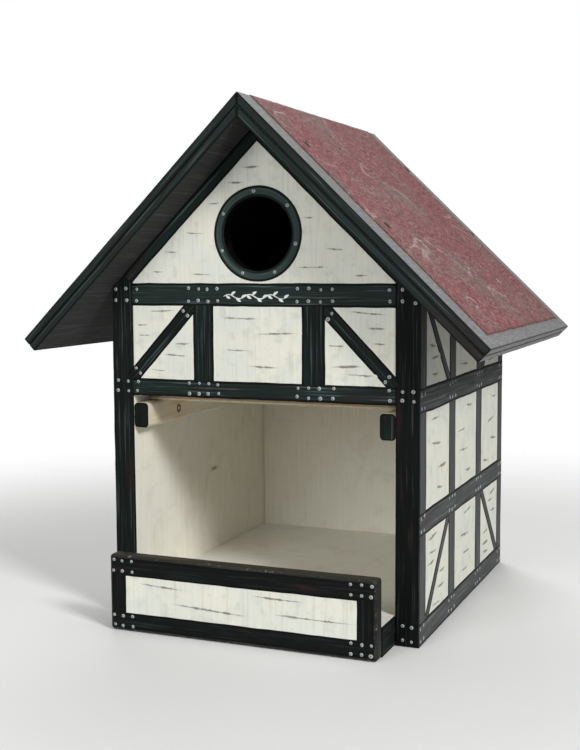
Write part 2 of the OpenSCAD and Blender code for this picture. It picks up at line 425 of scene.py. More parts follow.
def make_felt(name):
    """Roofing paper painted red-brown: blotched, scribbled over and scuffed pale in curved strokes."""
    felt = Finish(name)
    spread = felt.paint_map()
    blotches = felt.cloud(spread, 15.0, 4.0, 0.62, 0.4)
    speckle = felt.cloud(spread, 260.0, 3.0, 0.7)
    weave = felt.cloud(felt.stretch(spread, (260.0, 110.0, 1.0)), 1.0, 4.0, 0.72, 1.8)
    red = felt.mix(felt.fade(speckle, 0.36, 0.66), colour(120, 68, 71), colour(150, 94, 97))
    brown = felt.mix(felt.fade(speckle, 0.36, 0.66), colour(112, 95, 90), colour(140, 124, 118))
    base = felt.mix(felt.fade(blotches, 0.42, 0.66) * 0.75, red, brown)
    woven = felt.mix(felt.fade(weave, 0.5, 0.66) * 0.6, base, colour(184, 144, 140))
    shade = felt.mix(felt.fade(weave, 0.48, 0.34) * 0.62, woven, colour(72, 44, 47))
    warp = felt.node("ShaderNodeTexNoise", None, {"Vector": spread, "Scale": 34.0, "Detail": 3.0}, out=1)
    bent = felt.vector("MULTIPLY_ADD", warp, (0.035, 0.035, 0.035), spread)
    scribble = felt.fade(felt.cells(felt.stretch(bent, (1.0, 2.2, 1.0)), 52.0), 0.045, 0.01)
    scrawl = felt.mix(scribble * felt.fade(blotches, 0.62, 0.42) * 0.24, shade, colour(178, 140, 136))
    ridge_line = (felt.cloud(felt.stretch(spread, (1.7, 1.0, 1.0)), 17.0, 0.6, 0.4, 0.5) - 0.5).size()
    scuff_where = felt.fade(felt.cloud(spread, 17.0, 1.0), 0.5, 0.64)
    scuff_line = felt.fade(ridge_line, 0.02, 0.003) * felt.fade(weave, 0.34, 0.52)
    scuffed = felt.mix(scuff_line * scuff_where * 0.52, scrawl, colour(206, 184, 178))
    edge = felt.fade(felt.mark("rim"), 0.3, 0.95)
    base = felt.mix(edge * 0.5, scuffed, colour(96, 60, 58))
    relief = speckle * 0.45 + weave * 0.4 + scribble * 0.15
    return felt.surface(base, 0.78 + 0.14 * speckle, felt.bump(relief, 0.45 * MM, 0.9), specular=0.3)


def make_nail_paint(name):
    """Silver-grey dabs of paint with a darker middle."""
    paint = Finish(name)
    place = paint.place()
    dabs = paint.cloud(place, 900.0, 2.0)
    ring = paint.fade(paint.mark("crown") + 0.25 * dabs, 0.78, 1.08)
    base = paint.mix(ring, colour(176, 183, 182), colour(106, 114, 113))
    uneven = paint.mix(paint.fade(dabs, 0.5, 0.7) * 0.4, base, colour(78, 84, 84))
    return paint.surface(uneven, 0.42 + 0.2 * dabs, paint.bump(dabs, 0.15 * MM, 0.7), specular=0.5)


def make_bark_paint(name, grain):
    """Thin grey-brown brush dashes, dry and broken, that fade out into the white round them."""
    paint = Finish(name)
    place = paint.place()
    white, brushed = plaster_tone(paint, place, grain)
    lane = paint.mark("lane")
    run = paint.mark("run")
    dry = paint.cloud(paint.stretch(place, (300.0, 300.0, 1400.0)), 1.0, 3.0, 0.65)
    skips = paint.cloud(place, 170.0, 3.0, 0.6)
    belly = 0.17 + 0.24 * paint.fade(skips, 0.42, 0.62)
    taper = (1.0 - run.size() ** 3.0).at_least(0.0)
    offset = (lane + 0.4 * (dry - 0.5)).size() / (belly * (0.35 + taper)).at_least(0.02)
    strength = paint.fade(offset, 1.25, 0.3) * paint.fade(run.size(), 1.0, 0.35)
    broken = strength * (0.45 + 0.5 * paint.fade(dry + 0.6 * skips, 0.6, 0.86))
    ink = paint.mix(paint.fade(dry, 0.4, 0.65), colour(98, 96, 86), colour(138, 135, 123))
    base = paint.mix(broken, white, ink)
    return paint.surface(base, 0.6 + 0.15 * brushed, paint.bump(brushed, 0.2 * MM, 0.7), specular=0.35)


def make_ornament_paint(name):
    """Off-white brush paint of the garland on the upper rail."""
    paint = Finish(name)
    place = paint.place()
    strokes = paint.cloud(place, 500.0, 3.0)
    base = paint.mix(paint.fade(strokes, 0.4, 0.7), colour(236, 237, 232), colour(196, 200, 200))
    return paint.surface(base, 0.5 + 0.15 * strokes, paint.bump(strokes, 0.15 * MM, 0.7))


def make_screw_steel(name):
    """Dulled steel screws with some paint and dirt in their recesses."""
    steel = Finish(name)
    place = steel.place()
    grime = steel.cloud(place, 700.0, 3.0, 0.6)
    fine = steel.cloud(place, 2600.0, 2.0)
    base = steel.mix(steel.fade(grime, 0.42, 0.62), colour(92, 88, 86), colour(52, 46, 44))
    metal = steel.fade(grime, 0.62, 0.4) * 0.85
    rough = 0.34 + 0.35 * grime
    return steel.surface(base, rough, steel.bump(fine, 0.05 * MM, 0.5), metallic=metal)


def make_studio_floor(name):
    """A plain pale floor that fades out round the object."""
    ground = Finish(name)
    place = ground.place()
    faint = ground.cloud(place, 3.0, 2.0)
    base = ground.mix(faint, colour(238, 238, 237), colour(243, 243, 242))
    shown = ground.fade(ground.vector("LENGTH", place, out="Value"), 0.85, 0.3)
    return ground.surface(base, 0.9 + 0.05 * faint, ground.bump(faint, 0.1 * MM, 0.1), alpha=shown)


# How fine the grain is along X, Y and Z, in wood that stands, lies across and runs to the back
UPRIGHT_GRAIN = (520.0, 520.0, 22.0)
LEVEL_GRAIN = (22.0, 520.0, 520.0)
DEEP_GRAIN = (420.0, 18.0, 420.0)
KNOT_AT = (-INNER, FRONT + 141 * MM, 95 * MM)

PLASTER = make_plaster("panel_plaster", UPRIGHT_GRAIN)
TIMBER = make_timber("timber_paint", (9, 12, 11), (58, 74, 70), (92, 106, 104))
# Painted sheen: the side walls' timbers take the same dark paint drawn lighter grey, for the glancing
# reflection of the bright floor on the sides.
SIDE_TIMBER_SHEEN = make_timber("side_timber_painted_sheen", (64, 66, 66), (112, 114, 114), (140, 142, 141))
ROOF_EDGE = make_timber("roof_edge_paint", (12, 15, 14), (50, 62, 58), (84, 96, 92))
# Painted reflection: the dark paint under the roof is drawn mid-grey for the pale floor reflected in it.
UNDERSIDE_SHEEN = make_timber("roof_underside_painted_sheen", (46, 46, 46), (66, 66, 66), (84, 84, 84), edge_dark=0.6)
HOLE_PAINT = make_timber("entrance_paint", (5, 6, 6), (10, 12, 12), (17, 19, 19))
TRAY_PAINT = make_worn_timber("tray_paint")
TRAY_TIMBER = make_timber("tray_frame_paint", (10, 12, 11), (30, 38, 35), (46, 56, 52), red=0.55)
INNER_BIRCH = make_birch(
    "washed_birch_upright", UPRIGHT_GRAIN, (244, 242, 231), (237, 233, 218), KNOT_AT, loose_high.z)
FLOOR_BIRCH = make_birch("washed_birch_level", LEVEL_GRAIN, (247, 247, 240), (240, 240, 230))
CLEAT_BIRCH = make_birch("cleat_birch", DEEP_GRAIN, (226, 214, 192), (206, 188, 156))
LOOSE_BIRCH = make_birch("loose_floor_birch", DEEP_GRAIN, (216, 200, 168), (198, 178, 142))
PLY_EDGE = make_ply_edge("ply_edge", 1.3 * MM)
ROOF_GREY = make_roof_grey("roof_grey")
FELT = make_felt("roof_felt")
NAIL_PAINT = make_nail_paint("nail_dabs")
BARK_PAINT = make_bark_paint("bark_dashes", UPRIGHT_GRAIN)
ORNAMENT_PAINT = make_ornament_paint("garland_white")
STEEL = make_screw_steel("screw_steel")

# ---------------------------------------------------------------- wood and paint as meshes

WAVER_PITCH = 20.0
WAVER_DEEP = 0.16 * MM

# The vector noise lies where this seed puts it, so that each run gives the same unevenness
noise.seed_set(3)
TINY = 1e-9
ROUND_HOLE_RAYS = 96
FLAT_TURN = math.radians(30)


def waver(co):
    """The slight unevenness of hand-cut and hand-painted wood, the same for a board and its paint,
    and never past the frame's own box."""
    moved = co + noise.noise_vector(co * WAVER_PITCH) * WAVER_DEEP
    return Vector([min(max(moved[i], cad_box[0][i]), cad_box[1][i]) for i in range(3)])


def new_object(name, shape):
    """An object in the scene from a mesh, or from a bmesh that is then done with."""
    if isinstance(shape, bmesh.types.BMesh):
        mesh = bpy.data.meshes.new(name)
        shape.to_mesh(mesh)
        shape.free()
        shape = mesh
    piece = bpy.data.objects.new(name, shape)
    bpy.context.scene.collection.objects.link(piece)
    return piece


def apply_modifiers(piece):
    """Keeps what the piece's modifiers make as its plain mesh."""
    graph = bpy.context.evaluated_depsgraph_get()
    piece.data = bpy.data.meshes.new_from_object(piece.evaluated_get(graph))
    piece.modifiers.clear()


def prism(outline, y0, y1):
    """A closed solid with an outline in X and Z that runs from y0 to y1."""
    bm = bmesh.new()
    near = [bm.verts.new((x, y0, z)) for x, z in outline]
    far = [bm.verts.new((x, y1, z)) for x, z in outline]
    bm.faces.new(near)
    bm.faces.new(far[::-1])
    for i in range(len(outline)):
        j = (i + 1) % len(outline)
        bm.faces.new((near[i], far[i], far[j], near[j]))
    bmesh.ops.recalc_face_normals(bm, faces=bm.faces)
    return bm


def ray_to_outline(outline, centre, angle):
    """Where a ray from the centre meets the outline."""
    way = Vector((math.cos(angle), math.sin(angle)))
    best = None
    for i in range(len(outline)):
        start = Vector(outline[i]) - Vector(centre)
        edge = Vector(outline[(i + 1) % len(outline)]) - Vector(outline[i])
        cross = way.cross(edge)
        if abs(cross) < TINY * MM:
            continue
        reach = start.cross(edge) / cross
        share = start.cross(way) / cross
        if reach > 0 and -TINY <= share <= 1 + TINY and (best is None or reach < best):
            best = reach
    return centre[0] + way.x * best, centre[1] + way.y * best


def pierced_prism(outline, centre, radius, y0, y1):
    """The same solid with a round hole, in sectors that run from the hole to the outline."""
    corners = [math.atan2(z - centre[1], x - centre[0]) % (2 * math.pi) for x, z in outline]
    regular = [2 * math.pi * i / ROUND_HOLE_RAYS for i in range(ROUND_HOLE_RAYS)]
    clear = math.pi / ROUND_HOLE_RAYS / 2
    regular = [a for a in regular if min(abs(a - c) for c in corners) > clear]
    angles = sorted(regular + corners)
    bm = bmesh.new()
    rings = []
    for y in (y0, y1):
        hole = [(centre[0] + radius * math.cos(a), centre[1] + radius * math.sin(a)) for a in angles]
        edge = [ray_to_outline(outline, centre, a) for a in angles]
        rings.append([[bm.verts.new((x, y, z)) for x, z in ring] for ring in (hole, edge)])
    for i in range(len(angles)):
        j = (i + 1) % len(angles)
        (near_hole, near_edge), (far_hole, far_edge) = rings
        bm.faces.new((near_hole[i], near_edge[i], near_edge[j], near_hole[j]))
        bm.faces.new((far_hole[i], far_hole[j], far_edge[j], far_edge[i]))
        bm.faces.new((near_edge[i], far_edge[i], far_edge[j], near_edge[j]))
        bm.faces.new((near_hole[i], near_hole[j], far_hole[j], far_hole[i]))
    bmesh.ops.recalc_face_normals(bm, faces=bm.faces)
    return bm


def cut(bm, point, normal):
    """Adds the edges where a plane crosses the mesh."""
    everything = bm.verts[:] + bm.edges[:] + bm.faces[:]
    bmesh.ops.bisect_plane(bm, geom=everything, dist=MM / 1000, plane_co=point, plane_no=normal)


def outline_planes(outline, y0, y1):
    """Point and outward normal of each side of a prism."""
    planes = [(Vector((0, y0, 0)), Vector((0, -1, 0))), (Vector((0, y1, 0)), Vector((0, 1, 0)))]
    middle = sum((Vector(p) for p in outline), Vector((0, 0))) / len(outline)
    for i in range(len(outline)):
        a = Vector(outline[i])
        b = Vector(outline[(i + 1) % len(outline)])
        side = Vector((b.y - a.y, a.x - b.x)).normalized()
        if side.dot(a - middle) < 0:
            side = -side
        planes.append((Vector((a.x, y0, a.y)), Vector((side.x, 0, side.y))))
    return planes


def outline_edges(outline, y0, y1):
    """The arrises of a prism, as pairs of points."""
    edges = []
    for i, (x, z) in enumerate(outline):
        next_x, next_z = outline[(i + 1) % len(outline)]
        edges.append(((x, y0, z), (x, y1, z)))
        edges.append(((x, y0, z), (next_x, y0, next_z)))
        edges.append(((x, y1, z), (next_x, y1, next_z)))
    return edges


def near_edges(points, edges):
    """Distance from each point to the nearest of the edges."""
    best = np.full(len(points), 1.0)
    for start, end in edges:
        a = np.array(start)
        way = np.array(end) - a
        share = np.clip((points - a) @ way / (way @ way), 0, 1)
        best = np.minimum(best, np.linalg.norm(points - a - share[:, None] * way, axis=1))
    return best


def set_number(mesh, name, values):
    """Stores one number for each point of a mesh."""
    layer = mesh.attributes.get(name) or mesh.attributes.new(name, "FLOAT", "POINT")
    layer.data.foreach_set("value", np.asarray(values, np.float32))


def soften(mesh):
    """Smooth shading that follows the larger faces, so that arrises look round and faces flat."""
    normals = np.zeros((len(mesh.vertices), 3))
    for face in mesh.polygons:
        weighted = np.array(face.normal) * face.area
        for index in face.vertices:
            normals[index] += weighted
    lengths = np.linalg.norm(normals, axis=1)[:, None]
    mesh.shade_smooth()
    mesh.normals_split_custom_set_from_vertices(normals / lengths.clip(1e-12))


def brush_map(mesh, grains):
    """A map in metres on each face: along its finish's brush direction, and across it."""
    layer = mesh.uv_layers.new(name="paint")
    for face in mesh.polygons:
        along = Vector(grains[face.material_index])
        if abs(face.normal.dot(along)) > 0.8:
            along = along.yzx
        across = face.normal.cross(along)
        for loop in face.loop_indices:
            co = mesh.vertices[mesh.loops[loop].vertex_index].co
            layer.data[loop].uv = (co.dot(along), co.dot(across))


def drill(piece, places, radius, depth):
    """Round holes in a piece, at places given as a point on its surface and the way out."""
    bm = bmesh.new()
    for point, out in places:
        turn = Vector(out).to_track_quat("Z", "Y").to_matrix().to_4x4()
        at = Matrix.Translation(Vector(point)) @ turn
        bmesh.ops.create_cone(
            bm, cap_ends=True, segments=24, radius1=radius, radius2=radius, depth=2 * depth, matrix=at)
    tool = new_object("drill", bm)
    modifier = piece.modifiers.new("holes", "BOOLEAN")
    modifier.operation = "DIFFERENCE"
    modifier.solver = "EXACT"
    modifier.object = tool
    apply_modifiers(piece)
    bpy.data.objects.remove(tool)


def declare(piece, slot, *nodes, body="house"):
    """Attaches a finished piece to the body it rides on and hides the nodes it stands for; the slot is not
    used.
    """
    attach(piece, body)
    if nodes:
        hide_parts(*nodes)
    return piece


def board(name, outline, y0, y1, finishes, pick, hole=None, round_off=ARRIS, screws=(), tone=0.3):
    """A board with rounded arrises. The finishes are pairs of a material and its brush direction, and
    pick(normal, centre) gives the index of a face's own. The hole is a centre and a radius."""
    bm = pierced_prism(outline, *hole, y0, y1) if hole else prism(outline, y0, y1)
    sharp = [edge for edge in bm.edges if edge.calc_face_angle(0.0) > FLAT_TURN]
    bmesh.ops.bevel(
        bm, geom=sharp, offset=round_off, offset_type="OFFSET", segments=3, profile=0.5,
        affect="EDGES", clamp_overlap=True)
    for point, normal in outline_planes(outline, y0, y1):
        cut(bm, point - normal * RIM, normal)
    low = Vector([min(vertex.co[axis] for vertex in bm.verts) for axis in range(3)])
    high = Vector([max(vertex.co[axis] for vertex in bm.verts) for axis in range(3)])
    for axis in range(3):
        length = high[axis] - low[axis]
        count = round(length / GRID)
        way = Vector([float(axis == i) for i in range(3)])
        for i in range(1, count):
            cut(bm, low + way * (length * i / count), way)
    piece = new_object(name, bm)
    if screws:
        drill(piece, screws, SCREW_HEAD_R + BOARD_PLAY, 5 * MM)
    mesh = piece.data
    for face in mesh.polygons:
        face.material_index = pick(face.normal, face.center)
    for material, _ in finishes:
        mesh.materials.append(material)
    brush_map(mesh, [way for _, way in finishes])
    points = np.array([vertex.co for vertex in mesh.vertices])
    from_arris = near_edges(points, outline_edges(outline, y0, y1))
    set_number(mesh, "rim", np.clip(1 - from_arris / RIM, 0, 1))
    set_number(mesh, "tone", np.full(len(points), tone))
    for vertex in mesh.vertices:
        vertex.co = waver(vertex.co)
    soften(mesh)
    return piece


# ---------------------------------------------------------------- painted films


class Side:
    """A flat side of the house to paint on: across it, up it, and out from it."""

    def __init__(self, origin, across, out):
        self.origin = Vector(origin)
        self.across = Vector(across)
        self.out = Vector(out)

    def at(self, a, b, h):
        """The point a across the side, b up it and h out from it."""
        return self.origin + self.across * a + Vector((0, 0, b)) + self.out * h


class Film:
    """Strokes of thick paint on one side, gathered into one mesh.

    Each stroke is a closed body whose lower face is sunk in the wood. Its points carry the marks rim,
    1 along its edges, and tone, the paint's lightness, and its map starts at another place.
    """

    EDGE_W = 1.3 * MM
    SHOULDER_W = 2.4 * MM
    SUNK = -0.6 * MM
    SHAKE_PITCH = 70
    FINE_SHAKE = 4

    def __init__(self, side):
        self.side = side
        self.bm = bmesh.new()
        self.rim = self.bm.verts.layers.float.new("rim")
        self.tone = self.bm.verts.layers.float.new("tone")
        self.map = self.bm.loops.layers.uv.new("paint")
        self.strokes = 0

    def section(self, width, lift):
        """Across offset, height and rim mark of each point round a stroke's section."""
        edge = min(self.EDGE_W, width * 0.3)
        shoulder = min(self.SHOULDER_W, width * 0.42)
        half = width / 2
        right = [
            (half, self.SUNK, 1.0), (half, 0.35 * lift, 1.0),
            (half - edge, 0.95 * lift, 1.0), (half - shoulder, lift, 0.0)]
        return right + [(-across, height, mark) for across, height, mark in reversed(right)]

    def stroke(self, path, width, lift, tone=0.5, closed=False, wobble=0.35 * MM):
        """Paints along a path of points on the side; width is a number or a function of the share."""
        self.strokes += 1
        seed = self.strokes * 0.731
        count = len(path)
        rings = []
        run = 0.0
        for i, (a, b) in enumerate(path):
            before = path[(i - 1) % count] if closed or i else path[0]
            after = path[(i + 1) % count] if closed or i < count - 1 else path[-1]
            way = Vector((after[0] - before[0], after[1] - before[1])).normalized()
            normal = Vector((-way.y, way.x))
            if i:
                run += math.dist(path[i - 1], path[i])
            broad = width(i / (count - 1)) if callable(width) else width
            ring = []
            for across, height, mark in self.section(broad, lift):
                shake = 0.0
                if abs(across) > broad * 0.3:
                    apart = 3 if across > 0 else 7
                    where = Vector((a * self.SHAKE_PITCH, b * self.SHAKE_PITCH, seed + apart))
                    shake = noise.noise(where) * wobble * (1 if across > 0 else -1)
                    shake += noise.noise(where * self.FINE_SHAKE) * wobble * 0.4
                place = self.side.at(a + normal.x * (across + shake), b + normal.y * (across + shake), height)
                vertex = self.bm.verts.new(waver(place))
                vertex[self.rim] = mark
                vertex[self.tone] = tone
                ring.append((vertex, across))
            rings.append((run, ring))
        self.skin(rings, seed, closed, path)

    def face(self, corners, seed):
        """One face from corners of a vertex, its place across the stroke and its run along it."""
        made = self.bm.faces.new([vertex for vertex, _, _ in corners])
        for loop, (_, across, run) in zip(made.loops, corners):
            loop[self.map].uv = (run + seed, across + seed * 0.37)

    def skin(self, rings, seed, closed, path):
        """Joins the rings of one stroke and closes its ends."""
        pairs = list(zip(rings, rings[1:]))
        if closed:
            last = rings[-1][0] + math.dist(path[-1], path[0])
            pairs.append((rings[-1], (last, rings[0][1])))
        for (run0, ring0), (run1, ring1) in pairs:
            for j in range(len(ring0)):
                k = (j + 1) % len(ring0)
                self.face([(*ring0[j], run0), (*ring0[k], run0), (*ring1[k], run1), (*ring1[j], run1)], seed)
        if not closed:
            for run, ring in (rings[0], rings[-1]):
                self.face([(*point, run) for point in ring], seed)

    def beam(self, start, end, width, lift, tone=0.5, step=5 * MM):
        """One straight timber."""
        count = max(4, round(math.dist(start, end) / step))
        path = [
            (start[0] + (end[0] - start[0]) * i / count, start[1] + (end[1] - start[1]) * i / count)
            for i in range(count + 1)
        ]
        self.stroke(path, width, lift, tone)

    def post(self, a0, a1, b0, b1, lift=0.2 * MM, tone=0.4):
        """An upright from b0 to b1, between a0 and a1."""
        self.beam(((a0 + a1) / 2, b0), ((a0 + a1) / 2, b1), a1 - a0, lift, tone)

    def rail(self, b0, b1, a0, a1, lift=FILM, tone=0.5):
        """A level timber from a0 to a1, between b0 and b1."""
        self.beam((a0, (b0 + b1) / 2), (a1, (b0 + b1) / 2), b1 - b0, lift, tone)

    def keep(self, name, material, slot="timber_paint"):
        """The finished mesh as a piece."""
        bmesh.ops.recalc_face_normals(self.bm, faces=self.bm.faces)
        piece = new_object(name, self.bm)
        piece.data.materials.append(material)
        soften(piece.data)
        return declare(piece, slot)


FRONT_SIDE = Side((0, FRONT, 0), (1, 0, 0), (0, -1, 0))
BACK_SIDE = Side((0, BACK, 0), (1, 0, 0), (0, 1, 0))
RIGHT_SIDE = Side((HALF, FRONT, 0), (0, 1, 0), (1, 0, 0))
LEFT_SIDE = Side((-HALF, FRONT, 0), (0, 1, 0), (-1, 0, 0))
TRAY_FACE = tray_low.y + FILM + DAB_HEIGHT
TRAY_SIDE = Side((0, TRAY_FACE, 0), (1, 0, 0), (0, -1, 0))

# ---------------------------------------------------------------- where the timbers lie

# Rails go from one height to another, posts from one place across to another
UPPER_RAIL = (246 * MM, 263.4 * MM)
LOWER_RAIL = (RAIL_FOOT, 189.4 * MM)
INNER_POSTS = [(-54.2 * MM, -37.2 * MM), (35 * MM, 53.3 * MM)]
RAFTER_W = 9.8 * MM
BRACE_W = 10.6 * MM
RING_W = 8 * MM
RING_LIFT = 0.34 * MM
DEPTH = BACK - FRONT
SIDE_BAND = 17.6 * MM
SIDE_POSTS = [(0, SIDE_BAND), (82 * MM, 101 * MM), (170 * MM, 189.5 * MM), (DEPTH - SIDE_BAND, DEPTH)]
SIDE_RAILS = [(0, SIDE_BAND), (80.8 * MM, 98.5 * MM), (170 * MM, 189 * MM)]
SIDE_BRACE_W = 9 * MM
TRAY_FRAME = (93 * MM, 14.5 * MM, 42.8 * MM)
BRACE_LIFT = 0.13 * MM

# How far a timber's paint runs under the next one, and how far it stays off the ground
TUCK = 2 * MM
NICK = 1 * MM
SKIRT = 0.5 * MM

# The rafter bands run past the panel's corners, onto the ends of the side walls
RAFTER_REACH = (INNER + 7.5 * MM) / math.cos(PITCH)
RAFTER_LIFTS = {-1: 0.22 * MM, 1: 0.26 * MM}


def paint_rafters(film):
    """The bands under the roof: along both slopes, from the eaves up to the ridge."""
    for side, lift in RAFTER_LIFTS.items():
        low = on_slope(RAFTER_REACH, -RAFTER_W / 2, side)
        high = on_slope(0, -RAFTER_W / 2, side)
        film.beam(low, high, RAFTER_W, lift, 0.6)


def paint_front():
    """Rails, posts, braces, rafter bands and the ring round the entrance."""
    film = Film(FRONT_SIDE)
    for post, tone in zip(INNER_POSTS, (0.35, 0.3)):
        film.post(*post, LOWER_RAIL[1] - TUCK, UPPER_RAIL[0] + TUCK, tone=tone)
    foot = LOWER_RAIL[1]
    left_head = (INNER_POSTS[0][0] - 0.5 * MM, 246.8 * MM)
    right_head = (INNER_POSTS[1][1] - 0.9 * MM, 245.6 * MM)
    film.beam((-INNER - 0.8 * MM, foot), left_head, BRACE_W, BRACE_LIFT, 0.3)
    film.beam(right_head, (INNER, foot), BRACE_W, BRACE_LIFT, 0.35)
    paint_rafters(film)
    film.rail(*LOWER_RAIL, -INNER, INNER, FILM, 0.5)
    film.rail(*UPPER_RAIL, -INNER, INNER, FILM, 0.6)
    middle = HOLE_R + RING_W / 2
    turns = 72
    circle = [
        (middle * math.cos(2 * math.pi * i / turns), HOLE_Z + middle * math.sin(2 * math.pi * i / turns))
        for i in range(turns)
    ]
    film.stroke(circle, RING_W, RING_LIFT, 1.0, closed=True, wobble=0.25 * MM)
    film.keep("front_timber_paint", TIMBER)


def paint_side(name, side):
    """Bands, posts, rails and braces of a side wall."""
    film = Film(side)
    for post in SIDE_POSTS:
        film.post(*post, SKIRT, EAVE, tone=0.5)
    low, middle, high = SIDE_RAILS
    columns = [(SIDE_POSTS[i][1], SIDE_POSTS[i + 1][0]) for i in range(3)]
    lean = 3 * MM
    eave = EAVE - 12 * MM
    braces = [
        ((columns[0][0] + lean, eave), (columns[0][1] - NICK, high[1] - NICK)),
        ((columns[2][1] - lean, eave), (columns[2][0] + NICK, high[1] - NICK)),
        ((columns[0][0] + TUCK, low[1] - NICK), (columns[0][1] - NICK, middle[0] + NICK)),
        ((columns[2][0] + NICK, middle[0] + NICK), (columns[2][1] - TUCK, low[1] - NICK)),
    ]
    for start, end in braces:
        film.beam(start, end, SIDE_BRACE_W, BRACE_LIFT, 0.5)
    for rail in SIDE_RAILS:
        film.rail(*rail, SKIRT, DEPTH - SKIRT, FILM, 0.55)
    film.keep(name, SIDE_TIMBER_SHEEN)


def paint_back():
    """The same framing on the back wall, with a post up to the ridge."""
    film = Film(BACK_SIDE)
    for post in INNER_POSTS:
        film.post(*post, SKIRT, UPPER_RAIL[0] + TUCK, tone=0.4)
    half_post = SIDE_BAND / 2
    film.post(-half_post, half_post, UPPER_RAIL[1] - TUCK, APEX - 14 * MM, tone=0.5)
    outer = INNER - NICK
    inner = INNER_POSTS[1][1] - NICK
    for sign in (-1, 1):
        for foot, head in ((SIDE_RAILS[0][1], SIDE_RAILS[1][0]), (LOWER_RAIL[1], UPPER_RAIL[0])):
            film.beam((sign * outer, foot - NICK), (sign * inner, head + NICK), BRACE_W, BRACE_LIFT, 0.4)
    paint_rafters(film)
    for rail in SIDE_RAILS + [UPPER_RAIL]:
        film.rail(*rail, -INNER, INNER, FILM, 0.5)
    film.keep("back_timber_paint", TIMBER)


def paint_tray():
    """The dark frame round the tray's white panel."""
    film = Film(TRAY_SIDE)
    half, low, high = TRAY_FRAME
    edge = 2.3 * MM
    outer = INNER - edge
    top = tray_high.z - edge
    post_lift = FILM * 0.9
    film.post(-outer, -half, edge, top, post_lift, 0.25)
    film.post(half - NICK, outer, edge, top, post_lift, 0.25)
    film.rail(edge, low, -outer, outer, FILM, 0.4)
    film.rail(high, top, -outer, outer, FILM, 0.35)
    film.keep("tray_frame_paint", TRAY_TIMBER)


def paint_garland():
    """A small painted garland in the middle of the upper rail: a waving stem with leaves."""
    film = Film(FRONT_SIDE)
    centre_x = -2.5 * MM
    centre_z = 253.4 * MM
    half_l = 26 * MM
    waves = 3
    rise = 1.6 * MM
    lift = FILM + 0.18 * MM
    leaf_lift = lift + 0.03 * MM
    leaf_l = 4.6 * MM
    leaf_turn = math.radians(52)
    leaf_bend = 0.35

    def stem(share):
        a = centre_x - half_l + 2 * half_l * share
        return a, centre_z + rise * math.sin(share * waves * 2 * math.pi)

    def thin(share):
        return (0.7 + 0.6 * math.sin(math.pi * share)) * MM

    def leaf(share):
        return (0.45 + 2.2 * math.sin(math.pi * share ** 0.8)) * MM

    steps = 60
    film.stroke([stem(i / steps) for i in range(steps + 1)], thin, lift, wobble=0.15 * MM)
    leaves = 12
    leaf_steps = 8
    for i in range(leaves):
        a, b = stem((i + 0.5) / leaves)
        turn = leaf_turn if i % 2 else -leaf_turn
        path = []
        for j in range(leaf_steps + 1):
            along = leaf_l * j / leaf_steps
            bend = turn * (1 - leaf_bend * j / leaf_steps)
            path.append((a + along * math.cos(bend), b + along * math.sin(bend)))
        film.stroke(path, leaf, leaf_lift, wobble=0.1 * MM)
    film.keep("rail_garland", ORNAMENT_PAINT, "wall_paint")


# ---------------------------------------------------------------- repeated dabs and dashes


def geometry_tree(name, inputs):
    """An empty geometry tree with named inputs, and wires from each of them."""
    group = bpy.data.node_groups.new(name, "GeometryNodeTree")
    face = group.interface
    face.new_socket("Geometry", in_out="OUTPUT", socket_type="NodeSocketGeometry")
    face.new_socket("Geometry", in_out="INPUT", socket_type="NodeSocketGeometry")
    for label, kind in inputs:
        face.new_socket(label, in_out="INPUT", socket_type="NodeSocket" + kind)
    tree = Tree(group)
    entry = group.nodes.new("NodeGroupInput")
    wires = {socket.name: Wire(tree, socket) for socket in entry.outputs if socket.name}
    return group, tree, wires


def stored(tree, name, kind="FLOAT"):
    """A number or direction that each point carries."""
    return tree.node("GeometryNodeInputNamedAttribute", {"data_type": kind}, {"Name": name})


def finish_tree(group, tree, points, shape, rotation, scale, material):
    """Puts the shape on every point, makes it real and gives it its paint."""
    sockets = {"Points": points, "Instance": shape, "Rotation": rotation, "Scale": scale}
    placed = tree.node("GeometryNodeInstanceOnPoints", None, sockets)
    real = tree.node("GeometryNodeRealizeInstances", None, {0: placed})
    painted = tree.node("GeometryNodeSetMaterial", None, {"Geometry": real, "Material": material})
    leave = group.nodes.new("NodeGroupOutput")
    group.links.new(painted.socket, leave.inputs[0])
    return group


def facing(tree):
    """Turns a shape so that it lies on its side of the house, along the stored direction."""
    sockets = {"Primary Axis": stored(tree, "facing", "FLOAT_VECTOR"),
               "Secondary Axis": stored(tree, "along", "FLOAT_VECTOR")}
    return tree.node("FunctionNodeAxesToRotation", {"primary_axis": "Z", "secondary_axis": "X"}, sockets)


def store(tree, shape, name, value):
    """The shape, with a number kept at each point for its paint."""
    sockets = {"Geometry": shape, "Name": name, "Value": value}
    return tree.node("GeometryNodeStoreNamedAttribute", {"data_type": "FLOAT", "domain": "POINT"}, sockets)


def lot(tree, low, high, seed):
    """A number drawn for each point."""
    sockets = {2: low, 3: high, "Seed": seed}
    return tree.node("FunctionNodeRandomValue", {"data_type": "FLOAT"}, sockets, out=1)


def dab_tree():
    """A low round dab of paint on every point, no two the same size."""
    inputs = [("Radius", "Float"), ("Height", "Float"), ("Spread", "Float"), ("Seed", "Int"),
              ("Paint", "Material")]
    group, tree, given = geometry_tree("paint_dabs", inputs)
    ball = tree.node("GeometryNodeMeshUVSphere", None, {"Segments": 10, "Rings": 6, "Radius": 1.0})
    _, _, height = tree.parts(tree.node("GeometryNodeInputPosition"))
    marked = store(tree, ball, "crown", height)
    size = lot(tree, 1 - given["Spread"], 1 + given["Spread"], given["Seed"])
    oval = lot(tree, 0.85, 1.15, given["Seed"] + 1)
    broad = given["Radius"] * size
    scale = tree.xyz(broad * oval, broad, given["Height"] * size)
    return finish_tree(group, tree, given["Geometry"], marked, facing(tree), scale, given["Paint"])


